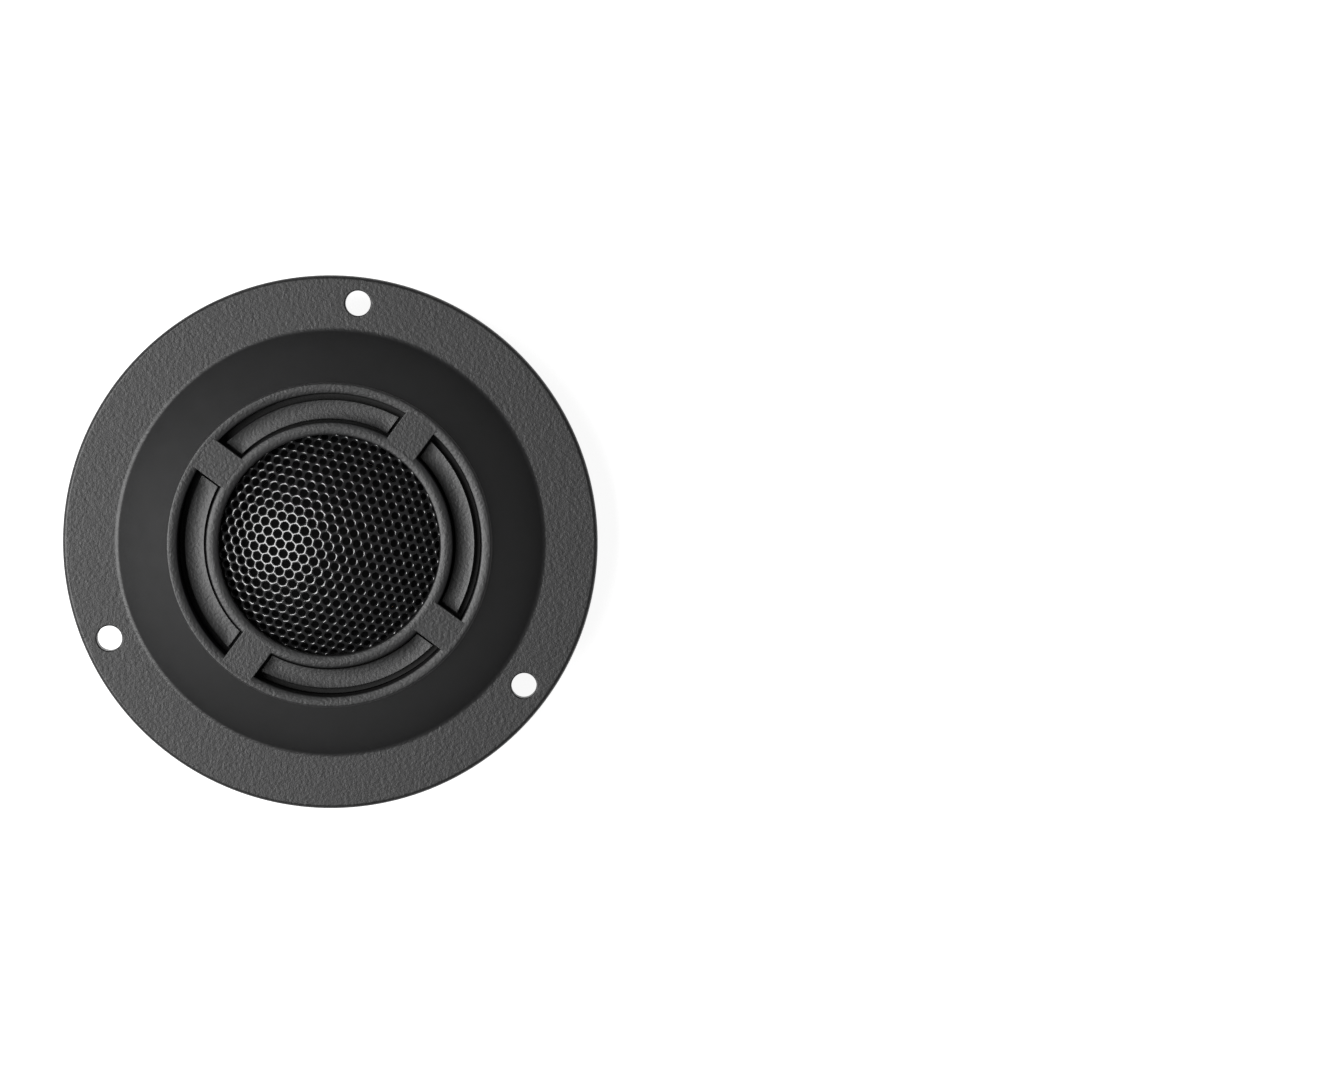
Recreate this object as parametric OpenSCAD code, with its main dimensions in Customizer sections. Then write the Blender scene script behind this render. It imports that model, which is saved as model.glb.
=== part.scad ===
// Flush-mount dome tweeter. A round moulded faceplate rises in a low cone to a raised
// ring with windows, and a perforated steel dome guards the soft dome beneath it.
// Origin: on the axis, at the flange's back face. +Z is the listening direction, and the
// first flange screw hole lies towards +Y.

/* [Faceplate] */
// Outside diameter of the flange
flange_d = 76; // [74:0.5:84]
// Thickness of the flange
flange_t = 2.5; // [2:0.1:3]
// Diameter at which the cone leaves the flange
cone_foot_d = 60.6; // [59:0.2:63]
// Wall thickness of the cone
cone_wall = 2.0; // [1.6:0.1:2.2]
// Outside diameter of the raised ring
ring_d = 45.9; // [45.5:0.1:46.5]
// Height of the raised ring above the mounting plane
ring_top = 8.6; // [8.4:0.1:9]
// Clear diameter of the opening over the grille
opening_d = 31.2; // [30.8:0.1:31.4]
// Width of the ring's outer bead
outer_bead_w = 1.55; // [1.4:0.05:1.7]
// Width of the rim around the opening
inner_rim_w = 1.8; // [1.6:0.05:1.9]
// Width of the four bridges across the windows
bridge_w = 5.0; // [4:0.1:6]
// How far the bridges lie below the beads
bridge_drop = 0.25; // [0.1:0.05:0.5]

/* [Flange screws] */
// Pitch circle of the flange screw holes
hole_pcd = 68.5; // [67:0.5:70]
// Diameter of the flange screw holes
hole_d = 3.6; // [3:0.1:4.5]

/* [Grille] */
// Outside radius of the perforated steel dome
grille_r = 28.6; // [27:0.1:31]
// Sheet thickness of the perforated steel
grille_t = 0.5; // [0.4:0.05:0.6]

/* [Diaphragm] */
// Nominal voice coil diameter, to the middle of the former
coil_d = 25.05; // [24.9:0.05:25.2]
// Height of the soft dome above its rim
dome_h = 3.6; // [3:0.1:4.2]
// Thickness of the coated fabric
fabric_t = 0.2; // [0.15:0.05:0.25]
// Height of the wound part of the voice coil
winding_h = 1.4; // [1:0.1:1.6]

/* [Motor] */
// Radius of the front pole plate
pole_r = 12.15; // [12:0.05:12.2]
// Thickness of the pole plate
pole_t = 2.0; // [1.6:0.1:2]
// Radius of the neodymium disc
magnet_r = 11.6; // [10:0.1:12]
// Thickness of the neodymium disc
magnet_t = 3.0; // [2.5:0.1:3]
// Bore radius of the steel cup
cup_bore_r = 13.15; // [13.1:0.05:13.3]
// Outside radius of the steel cup
cup_r = 15.6; // [15.5:0.05:15.6]

/* [Chassis] */
// Outside radius of the rear chassis
chassis_r = 22.0; // [21.8:0.1:22.4]
// Depth of the chassis behind the mounting plane
rear_depth = 10.5; // [10:0.1:13]

/* [Terminals] */
// Width of the positive tab
positive_w = 4.8; // [4.8:0.1:4.8]
// Width of the negative tab
negative_w = 2.8; // [2.8:0.1:2.8]
// How far the tabs stand out of the chassis wall
tab_reach = 6.3; // [5:0.1:6.6]

/* [Hidden] */

round_fn = 96;
small_fn = 32;
eps = 0.01;
turn = 360;
wire_bend_r = 0.8;
bend_swell = 0.02;
bend_lap = 0.05;

// Faceplate
ring_r = ring_d / 2;
flange_r = flange_d / 2;
foot_r = cone_foot_d / 2;
opening_r = opening_d / 2;
window_out_r = ring_r - outer_bead_w;
window_in_r = opening_r + inner_rim_w;
bead_r = outer_bead_w / 2;
rim_r = inner_rim_w / 2;
cone_top_z = ring_top - bead_r - 0.02;
cone_angle = atan2(cone_top_z - flange_t, foot_r - ring_r);
wall_dr = cone_wall * sin(cone_angle);
wall_dz = cone_wall * cos(cone_angle);
cone_slope = tan(cone_angle);
cone_inside_r0 = foot_r - wall_dr + (flange_t - wall_dz) / cone_slope;
edge_round = 0.6;
back_round = 0.3;
foot_fillet = 1.2;
skirt_bottom = 2.0;
skirt_chamfer = 0.3;
bridge_top = ring_top - bridge_drop;
bridge_t = 1.45;
bridge_first = 60;
bridge_count = 4;
hole_count = 3;
hole_first = 90;

// Grille, clamped between the inner rim and the clamp ring
grille_top = ring_top + 2.8;
grille_centre_z = grille_top - grille_r;
rim_under = 6.6;
rim_chamfer = 0.32;
grille_rim_r = 17.2;

// Clamp ring, whose four raised pads stand in the windows
clamp_z = 3.75;
clamp_base_t = 0.7;
clamp_in_r = 15.55;
clamp_out_r = window_out_r - 0.15;
clamp_wall_in_r = 15.95;
pad_in_r = window_in_r + 0.55;
pad_out_r = window_out_r - 1.1;
pad_top = 5.95;
pad_hollow_r = 2.3;
pad_end_gap = 0.4;

// Stack behind the clamp ring
gasket_t = 0.3;
flange_fabric_t = 0.15;
frame_top = clamp_z - gasket_t - flange_fabric_t;
frame_t = 0.9;
frame_bottom = frame_top - frame_t;
frame_in_r = 15.05;
frame_out_r = 21.2;
frame_skirt_r = 16.6;
frame_skirt_drop = 1.5;
gasket_in_r = 15.6;
gasket_out_r = 20.2;

// Surround
roll_mid_r = 14.1;
roll_r = 1.2;

// Moving parts
former_t = 0.15;
former_r = coil_d / 2 + former_t / 2;
former_in_r = former_r - former_t;
former_top = frame_top + 0.05;
former_bottom = 0.65;
winding_t = 0.25;
winding_bottom = 0.75;
dome_a = 12.5;
dome_r = (dome_a * dome_a + dome_h * dome_h) / (2 * dome_h);
dome_centre_z = former_top + dome_h - dome_r;

// Motor
cup_top = frame_bottom;
pole_bottom = cup_top - pole_t;
magnet_bottom = pole_bottom - magnet_t;
cup_floor_t = 2.0;
cup_bottom = magnet_bottom - cup_floor_t;
felt_r = 9;
felt_t = 1.2;
cup_chamfer = 0.6;
dimple_r = 1.6;
dimple_depth = 0.4;

// Chassis
chassis_wall = 1.6;
chassis_in_r = chassis_r - chassis_wall;
chassis_top = 1.8;
lug_t = 1.6;
lug_bottom = chassis_top - lug_t;
collar_r = chassis_r + 1.0;
floor_bottom = cup_bottom - 0.8;
floor_t = 1.4;
sleeve_in_r = cup_r + 0.05;
sleeve_out_r = 17.2;
sleeve_top = 0.7;
lip_in_r = 14.4;
rim_round = 0.4;

// Chassis screws, self-tapping into bosses under the cone
screw_orbit_r = 24.6;
screw_first = 30;
screw_count = 3;
boss_r = 2.2;
boss_top = 4.6;
pilot_r = 0.9;
pilot_top = 5.0;
lug_r = 2.4;
lug_hole_r = 1.25;
screw_r = 1.1;
screw_len = 4.5;
head_r = 1.95;
head_t = 1.3;
drive_w = 0.55;
drive_len = 2.2;
drive_depth = 0.6;

// Terminals, on a board riveted to the chassis floor on the +Y side
board_half_w = 8;
board_in_y = 13.0;
board_t = 1.2;
board_back = floor_bottom - board_t;
board_edge_r = chassis_in_r - 0.2;
tab_t = 0.8;
tab_back = board_back - tab_t;
tab_in_y = 14.2;
tab_x = 4;
tab_tip_y = chassis_r + tab_reach;
tab_tip_chamfer = 0.9;
notch_side = 0.75;
notch_top = floor_bottom - 0.5;
rivet_y = 18.4;
rivet_r = 0.75;
rivet_head_r = 1.25;
rivet_head_t = 0.5;
tab_hole_r = 0.85;
tab_dimple_inset = 3.2;

// Coil leads, each a flat ribbon and then a wire down to the board
lead_r = 18.6;
lead_angle_positive = 91.5;
lead_angle_negative = 112.8;
ribbon_w = 0.8;
ribbon_t = 0.15;
ribbon_z = frame_bottom + 0.2;
ribbon_in_r = 13.2;
wire_r = 0.3;
lead_hole_r = 0.6;
slot_w = 1.3;
slot_depth = 0.65;

// Capacitor, held behind the steel cup by leads that lie on the back of the tabs
can_r = 2.5;
can_len = 11;
can_y = 5;
bung_r = 1.9;
bung_t = 0.5;
groove_r = 0.3;
groove_inset = 1.6;
cap_lead_r = 0.28;
can_z = tab_back - cap_lead_r;
solder_r = 1.3;
solder_rise = 0.75;

module ring_of(count, first) {
    for (i = [0 : count - 1]) rotate([0, 0, first + i * turn / count]) children();
}

module tube(inner_r, outer_r, bottom, top) {
    translate([0, 0, bottom]) difference() {
        cylinder(h = top - bottom, r = outer_r, $fn = round_fn);
        translate([0, 0, -1]) cylinder(h = top - bottom + 2, r = inner_r, $fn = round_fn);
    }
}

module rod(from, to, r) {
    v = to - from;
    len = norm(v);
    translate(from) rotate([0, acos(v[2] / len), atan2(v[1], v[0])])
        cylinder(h = len, r = r, $fn = small_fn);
}

function heading(a, b) = atan2(b[1] - a[1], b[0] - a[0]);

function along(a, b) = (b - a) / norm(b - a);

function turn_at(p, i) = let (t = heading(p[i], p[i + 1]) - heading(p[i - 1], p[i]))
    t > 180 ? t - 360 : t < -180 ? t + 360 : t;

// How much a bend takes off the straight lengths that meet at a point
function bend_cut(p, i, rises) = i == 0 ? 0
    : i == len(p) - 1 ? (rises ? wire_bend_r : 0)
    : wire_bend_r * tan(abs(turn_at(p, i)) / 2);

// A rod reaches a little way into the bend at its end
function rod_cut(p, i, rises) = max(0, bend_cut(p, i, rises) - bend_lap);

// A bend of round wire that starts at the origin along +Y, and turns left if positive
module elbow(angle, r) {
    side = sign(angle);
    translate([-side * wire_bend_r, 0, 0]) rotate([0, 0, side > 0 ? 0 : 180 + angle])
        rotate_extrude(angle = abs(angle), $fn = small_fn)
            translate([wire_bend_r, 0]) circle(r = r + bend_swell, $fn = small_fn);
}

// Round wire through level points, bent at each corner. With a top, its end rises there.
module wire(points, r, top = undef) {
    last = len(points) - 1;
    rises = !is_undef(top);
    for (i = [1 : last]) {
        a = points[i - 1];
        b = points[i];
        d = along(a, b);
        rod(a + d * rod_cut(points, i - 1, rises), b - d * rod_cut(points, i, rises), r);
        if (i < last || rises) translate(b - d * bend_cut(points, i, rises))
            rotate([0, 0, heading(a, b) - 90])
                if (i < last) elbow(turn_at(points, i), r);
                else rotate([0, 90, 0]) elbow(90, r);
    }
    if (rises && top > points[last][2] + wire_bend_r)
        rod(points[last] + [0, 0, wire_bend_r - bend_lap],
            [points[last][0], points[last][1], top], r);
}

// The flange's section, with a rounded front edge and a smaller round behind
module flange_section() {
    translate([foot_r, 0]) square([flange_r - edge_round - foot_r, flange_t]);
    translate([foot_r, back_round])
        square([flange_r - foot_r, flange_t - edge_round - back_round]);
    translate([flange_r - edge_round, flange_t - edge_round])
        circle(r = edge_round, $fn = small_fn);
    translate([flange_r - back_round, back_round]) circle(r = back_round, $fn = small_fn);
}

// Points on an arc, from one angle to another
function arc(x, z, r, from, to, steps) =
    [for (i = [0 : steps]) let (a = from + (to - from) * i / steps) [x + r * cos(a), z + r * sin(a)]];

// The cone's wall, as thick at the foot as at the top, with a small hollow fillet at the foot
module cone_section() {
    reach = foot_fillet * tan(cone_angle / 2);
    polygon(concat([[foot_r + 1, 0], [foot_r + 1, flange_t]],
        arc(foot_r + reach, flange_t + foot_fillet, foot_fillet, -90, -90 - cone_angle, 4),
        [[ring_r - eps, cone_top_z], [ring_r - wall_dr, cone_top_z - wall_dz],
        [cone_inside_r0, 0]]));
}

// A wall with a rounded bead along its top, and a chamfer on its inner corner below
module bead_section(inner_r, width, bottom, chamfer = 0) {
    bead_z = ring_top - width / 2;
    polygon([[inner_r, bottom + chamfer], [inner_r + chamfer, bottom],
        [inner_r + width, bottom], [inner_r + width, bead_z], [inner_r, bead_z]]);
    translate([inner_r + width / 2, bead_z]) circle(r = width / 2, $fn = 48);
}

module faceplate() {
    color([0.10, 0.10, 0.105]) difference() {
        union() {
            rotate_extrude($fn = round_fn) {
                flange_section();
                cone_section();
                bead_section(window_out_r, outer_bead_w, skirt_bottom, skirt_chamfer);
            }
            rotate_extrude($fn = round_fn)
                bead_section(opening_r, inner_rim_w, rim_under, rim_chamfer);
            ring_of(bridge_count, bridge_first)
                translate([opening_r + rim_r, -bridge_w / 2, bridge_top - bridge_t])
                    cube([window_out_r + bead_r - opening_r - rim_r, bridge_w, bridge_t]);
            ring_of(screw_count, screw_first) translate([screw_orbit_r, 0, chassis_top])
                cylinder(h = boss_top - chassis_top, r = boss_r, $fn = small_fn);
        }
        ring_of(hole_count, hole_first) translate([hole_pcd / 2, 0, -1])
            cylinder(h = flange_t + 2, d = hole_d, $fn = 48);
        ring_of(screw_count, screw_first) translate([screw_orbit_r, 0, chassis_top - 1])
            cylinder(h = pilot_top - chassis_top + 1, r = pilot_r, $fn = small_fn);
    }
}

module grille_dome() {
    color([0.07, 0.07, 0.075]) rotate_extrude($fn = round_fn) {
        intersection() {
            difference() {
                translate([0, grille_centre_z]) circle(r = grille_r, $fn = 180);
                translate([0, grille_centre_z]) circle(r = grille_r - grille_t, $fn = 180);
            }
            translate([0, rim_under - grille_t])
                square([grille_rim_r, grille_top - rim_under + grille_t + 1]);
        }
        translate([clamp_wall_in_r - 0.2, rim_under - grille_t])
            square([grille_rim_r - clamp_wall_in_r + 0.2, grille_t]);
    }
}

module clamp_ring() {
    pad_mid_r = (pad_in_r + pad_out_r) / 2;
    pad_half = (pad_out_r - pad_in_r) / 2;
    hollow_z = pad_top + sqrt(pad_hollow_r * pad_hollow_r - pad_half * pad_half);
    end_w = bridge_w + 2 * pad_end_gap;
    color([0.12, 0.12, 0.125]) {
        tube(clamp_in_r, clamp_out_r, clamp_z, clamp_z + clamp_base_t);
        tube(clamp_wall_in_r, grille_rim_r, clamp_z + eps, rim_under - grille_t);
        difference() {
            rotate_extrude($fn = round_fn) difference() {
                translate([pad_in_r, clamp_z + eps])
                    square([pad_out_r - pad_in_r, pad_top - clamp_z - eps]);
                translate([pad_mid_r, hollow_z]) circle(r = pad_hollow_r, $fn = round_fn);
            }
            ring_of(bridge_count, bridge_first)
                translate([0, -end_w / 2, clamp_z + clamp_base_t])
                    cube([window_out_r, end_w, pad_top]);
        }
    }
}

module front_gasket() {
    color([0.2, 0.2, 0.2]) tube(gasket_in_r, gasket_out_r, clamp_z - gasket_t, clamp_z);
}

module silk_dome() {
    color([0.09, 0.09, 0.1]) {
        rotate_extrude($fn = round_fn) intersection() {
            difference() {
                translate([0, dome_centre_z]) circle(r = dome_r, $fn = 180);
                translate([0, dome_centre_z]) circle(r = dome_r - fabric_t, $fn = 180);
            }
            translate([0, former_top]) square([former_r, dome_h + 1]);
        }
        tube(dome_a - 0.4, former_r, former_top, former_top + 0.15);
    }
}

module surround() {
    color([0.11, 0.11, 0.12]) rotate_extrude($fn = round_fn) {
        intersection() {
            translate([roll_mid_r, frame_top]) difference() {
                circle(r = roll_r, $fn = round_fn);
                circle(r = roll_r - flange_fabric_t, $fn = round_fn);
            }
            translate([former_r, frame_top]) square([2 * roll_r + 1, roll_r + 1]);
        }
        translate([former_r + 0.02, frame_top])
            square([roll_mid_r - roll_r + flange_fabric_t - former_r, flange_fabric_t]);
        translate([roll_mid_r + roll_r - flange_fabric_t, frame_top])
            square([gasket_out_r - roll_mid_r - roll_r + flange_fabric_t, flange_fabric_t]);
    }
}

module coil_former() {
    color([0.75, 0.6, 0.3]) tube(former_in_r, former_r, former_bottom, former_top);
}

module voice_coil() {
    color([0.72, 0.4, 0.2])
        tube(former_r, former_r + winding_t, winding_bottom, winding_bottom + winding_h);
}

module diaphragm_frame() {
    color([0.15, 0.15, 0.15]) difference() {
        union() {
            tube(frame_in_r, frame_out_r, frame_bottom, frame_top);
            tube(cup_r + 0.08, frame_skirt_r, frame_bottom - frame_skirt_drop, frame_bottom + eps);
        }
        for (a = [lead_angle_positive, lead_angle_negative]) rotate([0, 0, a])
            translate([frame_in_r - 1, -slot_w / 2, frame_bottom - frame_skirt_drop - 1])
                cube([lead_r - frame_in_r + 2, slot_w, frame_skirt_drop + 1 + slot_depth]);
    }
}

module coil_lead(angle, wire_bottom) {
    rotate([0, 0, angle]) {
        translate([ribbon_in_r, -ribbon_w / 2, ribbon_z])
            cube([lead_r + wire_r - ribbon_in_r, ribbon_w, ribbon_t]);
        translate([lead_r, 0, wire_bottom])
            cylinder(h = ribbon_z - wire_bottom + eps, r = wire_r, $fn = small_fn);
    }
}

module coil_lead_positive() {
    color([0.8, 0.5, 0.25]) coil_lead(lead_angle_positive, board_back - 0.3);
}

module coil_lead_negative() {
    over = tab_back - wire_r;
    foot = [lead_r * cos(lead_angle_negative), lead_r * sin(lead_angle_negative), over];
    color([0.8, 0.5, 0.25]) {
        coil_lead(lead_angle_negative, over + wire_bend_r - bend_lap);
        wire([[-tab_x - 0.4, tab_in_y + 1.2, over], foot], wire_r, top = over + wire_bend_r);
    }
}

module pole_felt() {
    color([0.3, 0.3, 0.3]) translate([0, 0, cup_top])
        cylinder(h = felt_t, r = felt_r, $fn = round_fn);
}

module pole_plate() {
    color([0.75, 0.76, 0.78]) translate([0, 0, pole_bottom])
        cylinder(h = pole_t, r = pole_r, $fn = round_fn);
}

module magnet() {
    color([0.6, 0.61, 0.63]) translate([0, 0, magnet_bottom])
        cylinder(h = magnet_t, r = magnet_r, $fn = round_fn);
}

module yoke_cup() {
    color([0.78, 0.79, 0.8]) difference() {
        rotate_extrude($fn = round_fn) polygon([[0, cup_bottom],
            [cup_r - cup_chamfer, cup_bottom], [cup_r, cup_bottom + cup_chamfer],
            [cup_r, cup_top], [cup_bore_r, cup_top], [cup_bore_r, magnet_bottom],
            [0, magnet_bottom]]);
        translate([0, 0, cup_bottom - 1])
            cylinder(h = dimple_depth + 1, r = dimple_r, $fn = small_fn);
    }
}

// The chassis wall's rear edge is rounded on both sides
module chassis_wall_section() {
    translate([chassis_in_r, rim_round - rear_depth])
        square([chassis_wall, chassis_top + rear_depth - rim_round]);
    translate([chassis_in_r + rim_round, -rear_depth])
        square([chassis_wall - 2 * rim_round, rim_round + eps]);
    for (r = [chassis_in_r + rim_round, chassis_r - rim_round])
        translate([r, rim_round - rear_depth]) circle(r = rim_round, $fn = small_fn);
}

module tab_notch(x, width) {
    translate([x - width / 2 - notch_side, chassis_in_r - 4, -rear_depth - 1])
        cube([width + 2 * notch_side, chassis_wall + 6, notch_top + rear_depth + 1]);
}

module chassis() {
    color([0.1, 0.1, 0.1]) difference() {
        union() {
            rotate_extrude($fn = round_fn) chassis_wall_section();
            tube(sleeve_in_r, sleeve_out_r, floor_bottom + eps, sleeve_top);
            tube(lip_in_r, sleeve_in_r + eps, floor_bottom, cup_bottom);
            tube(sleeve_in_r, chassis_in_r + eps, floor_bottom, floor_bottom + floor_t);
            tube(chassis_in_r + eps, collar_r, lug_bottom, chassis_top);
            ring_of(screw_count, screw_first) {
                translate([screw_orbit_r, 0, lug_bottom])
                    cylinder(h = lug_t, r = lug_r, $fn = small_fn);
                translate([chassis_in_r + 0.5, -lug_r, lug_bottom])
                    cube([screw_orbit_r - chassis_in_r - 0.5, 2 * lug_r, lug_t]);
            }
        }
        ring_of(screw_count, screw_first) translate([screw_orbit_r, 0, lug_bottom - 1])
            cylinder(h = lug_t + 2, r = lug_hole_r, $fn = small_fn);
        tab_notch(tab_x, positive_w);
        tab_notch(-tab_x, negative_w);
        lead_holes(floor_bottom - 1, floor_t + 2);
        for (x = [-tab_x, tab_x]) translate([x, rivet_y, floor_bottom - 1])
            cylinder(h = floor_t + 2, r = rivet_r, $fn = small_fn);
    }
}

module lead_holes(bottom, height) {
    for (a = [lead_angle_positive, lead_angle_negative]) rotate([0, 0, a])
        translate([lead_r, 0, bottom]) cylinder(h = height, r = lead_hole_r, $fn = small_fn);
}

module chassis_screws() {
    color([0.55, 0.56, 0.58]) ring_of(screw_count, screw_first)
        translate([screw_orbit_r, 0, 0]) difference() {
            union() {
                translate([0, 0, lug_bottom]) cylinder(h = screw_len, r = screw_r, $fn = small_fn);
                translate([0, 0, lug_bottom - head_t]) cylinder(h = head_t, r = head_r, $fn = 48);
            }
            for (a = [0, 90]) rotate([0, 0, a])
                translate([-drive_len / 2, -drive_w / 2, lug_bottom - head_t - 1])
                    cube([drive_len, drive_w, drive_depth + 1]);
        }
}

module terminal_board() {
    color([0.45, 0.27, 0.13]) difference() {
        intersection() {
            translate([-board_half_w, board_in_y, board_back])
                cube([2 * board_half_w, board_edge_r, board_t]);
            translate([0, 0, board_back - 1])
                cylinder(h = board_t + 2, r = board_edge_r, $fn = round_fn);
        }
        lead_holes(board_back - 1, board_t + 2);
        for (x = [-tab_x, tab_x]) translate([x, rivet_y, board_back - 1])
            cylinder(h = board_t + 2, r = rivet_r, $fn = small_fn);
    }
}

// A flat tab with a chamfered tip, a rivet hole and a latching hole
module tab(x, width) {
    half = width / 2;
    translate([x, 0, tab_back]) difference() {
        linear_extrude(tab_t) polygon([[-half, tab_in_y], [half, tab_in_y],
            [half, tab_tip_y - tab_tip_chamfer], [half - tab_tip_chamfer, tab_tip_y],
            [tab_tip_chamfer - half, tab_tip_y], [-half, tab_tip_y - tab_tip_chamfer]]);
        translate([0, rivet_y, -1]) cylinder(h = tab_t + 2, r = rivet_r, $fn = small_fn);
        translate([0, tab_tip_y - tab_dimple_inset, -1])
            cylinder(h = tab_t + 2, r = tab_hole_r * width / positive_w, $fn = small_fn);
    }
}

module terminal_positive() {
    color([0.78, 0.79, 0.8]) tab(tab_x, positive_w);
}

module terminal_negative() {
    color([0.78, 0.79, 0.8]) tab(-tab_x, negative_w);
}

module terminal_rivets() {
    top = floor_bottom + floor_t;
    color([0.75, 0.66, 0.4]) for (x = [-tab_x, tab_x]) translate([x, rivet_y, 0]) {
        translate([0, 0, tab_back - rivet_head_t])
            cylinder(h = rivet_head_t, r = rivet_head_r, $fn = small_fn);
        translate([0, 0, tab_back - eps])
            cylinder(h = top - tab_back + 2 * eps, r = rivet_r, $fn = small_fn);
        translate([0, 0, top]) cylinder(h = rivet_head_t, r = rivet_head_r, $fn = small_fn);
    }
}

// A low dome of solder on a surface that faces the rear
module solder_blob(x, y, surface) {
    translate([x, y, 0]) intersection() {
        translate([0, 0, surface + solder_r - solder_rise]) sphere(r = solder_r, $fn = 48);
        translate([-2, -2, surface - 2]) cube([4, 4, 2]);
    }
}

module solder_joints() {
    eyelet = [lead_r * cos(lead_angle_positive), lead_r * sin(lead_angle_positive)];
    color([0.8, 0.8, 0.82]) {
        solder_blob(tab_x + 0.6, tab_in_y + 1.2, tab_back);
        solder_blob(-tab_x, tab_in_y + 1.2, tab_back);
        solder_blob(eyelet[0], eyelet[1], board_back);
    }
}

module capacitor_can() {
    half = can_len / 2;
    color([0.1, 0.25, 0.45]) translate([0, can_y, can_z]) rotate([0, 90, 0]) difference() {
        rotate_extrude($fn = 64) difference() {
            translate([0, -half]) square([can_r, can_len]);
            for (z = [-half + groove_inset, half - groove_inset])
                translate([can_r + groove_r / 2, z]) circle(r = groove_r, $fn = small_fn);
        }
        for (end = [-1, 1]) translate([0, 0, end * half - bung_t])
            cylinder(h = 2 * bung_t, r = bung_r, $fn = small_fn);
    }
}

module capacitor_bungs() {
    half = can_len / 2;
    color([0.08, 0.08, 0.08]) translate([0, can_y, can_z]) rotate([0, 90, 0])
        for (end = [-1, 1]) translate([0, 0, end * (half - bung_t / 2) - bung_t / 2])
            difference() {
                cylinder(h = bung_t, r = bung_r, $fn = small_fn);
                translate([0, 0, -1]) cylinder(h = bung_t + 2, r = cap_lead_r, $fn = small_fn);
            }
}

module capacitor_leads() {
    out_x = can_len / 2 + 1.4;
    in_x = can_len / 2 - bung_t;
    eyelet = [lead_r * cos(lead_angle_positive), lead_r * sin(lead_angle_positive), can_z];
    color([0.8, 0.8, 0.82]) {
        wire([[in_x, can_y, can_z], [out_x, can_y, can_z], [out_x, can_y + 4, can_z],
            [tab_x + 0.6, tab_in_y - 1.2, can_z], [tab_x + 0.6, tab_in_y + 1.2, can_z]],
            cap_lead_r);
        wire([[-in_x, can_y, can_z], [-out_x, can_y, can_z], [-out_x, can_y + 4, can_z],
            [eyelet[0], board_in_y + 1.2, can_z], eyelet], cap_lead_r, top = board_back);
    }
}

faceplate();
grille_dome();
clamp_ring();
front_gasket();
silk_dome();
surround();
coil_former();
voice_coil();
diaphragm_frame();
coil_lead_positive();
coil_lead_negative();
pole_felt();
pole_plate();
magnet();
yoke_cup();
chassis();
chassis_screws();
terminal_board();
terminal_positive();
terminal_negative();
terminal_rivets();
solder_joints();
capacitor_can();
capacitor_bungs();
capacitor_leads();
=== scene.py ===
# %% [markdown]
# # A flush-mount dome tweeter, built around its engineering model
#
# The imported model gives every part its size and place. This script gives the parts the
# looks of the real thing: grained plastic, punched and painted steel, doped silk, plated
# metal. It loads that model first, because every new piece rides on one of its bodies and
# takes its measures from its nodes.

# %% Load the frame
import math

import bmesh
import bpy
from mathutils import Matrix, Vector


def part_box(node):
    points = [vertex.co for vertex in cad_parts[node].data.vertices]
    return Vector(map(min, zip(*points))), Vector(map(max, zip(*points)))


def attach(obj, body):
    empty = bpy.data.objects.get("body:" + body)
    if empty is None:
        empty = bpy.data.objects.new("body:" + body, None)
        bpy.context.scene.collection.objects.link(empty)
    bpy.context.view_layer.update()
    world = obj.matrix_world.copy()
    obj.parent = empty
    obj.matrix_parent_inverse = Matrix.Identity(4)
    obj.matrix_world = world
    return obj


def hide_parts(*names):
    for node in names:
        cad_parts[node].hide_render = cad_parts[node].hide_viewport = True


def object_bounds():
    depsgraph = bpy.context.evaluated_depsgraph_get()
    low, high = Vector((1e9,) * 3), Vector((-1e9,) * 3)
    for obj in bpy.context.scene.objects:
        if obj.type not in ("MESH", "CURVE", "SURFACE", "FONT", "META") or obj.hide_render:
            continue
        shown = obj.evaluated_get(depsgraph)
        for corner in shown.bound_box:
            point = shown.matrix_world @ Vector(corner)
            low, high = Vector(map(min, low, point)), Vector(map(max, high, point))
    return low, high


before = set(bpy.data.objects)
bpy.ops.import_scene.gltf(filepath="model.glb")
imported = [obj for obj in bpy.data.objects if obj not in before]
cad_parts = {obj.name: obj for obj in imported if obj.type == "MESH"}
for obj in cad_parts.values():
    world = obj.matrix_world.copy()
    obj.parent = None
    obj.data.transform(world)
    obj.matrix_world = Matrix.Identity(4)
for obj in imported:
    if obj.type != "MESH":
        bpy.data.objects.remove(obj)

cad_box = [list(corner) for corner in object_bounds()]
print("engineering box in metres", cad_box)

# %% [markdown]
# ## Working in millimetres
#
# The tweeter is small, so its sections are easier to read in millimetres. Each mesh is
# shrunk to metres once, when it becomes a piece. The main sizes are read from the frame,
# so that a piece can't drift from the part it stands for.

# %% Sizes read from the frame
MM = 0.001


def span(node):
    """The node's lowest and highest corner, in millimetres."""
    low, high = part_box(node)
    return low / MM, high / MM


_, plate_high = span("faceplate")
FLANGE_R = plate_high.x
RING_TOP = plate_high.z
grille_low, grille_high = span("grille_dome")
clamp_low, clamp_high = span("clamp_ring")
FLOOR_Z = cad_box[0][2]
print("flange radius", round(FLANGE_R, 2), "ring top", round(RING_TOP, 2))

# %% [markdown]
# ## Turning a section into a solid
#
# Almost every part of a loudspeaker is round, so most pieces start as a section drawn in
# (radius, height) and turned about the axis. `bmesh.ops.spin` does that in one call. A lathe
# modifier would work too, but the operator leaves a plain mesh that can be cut further.

# %% Sections and spins
TURN = 2 * math.pi
STEPS = 192


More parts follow.
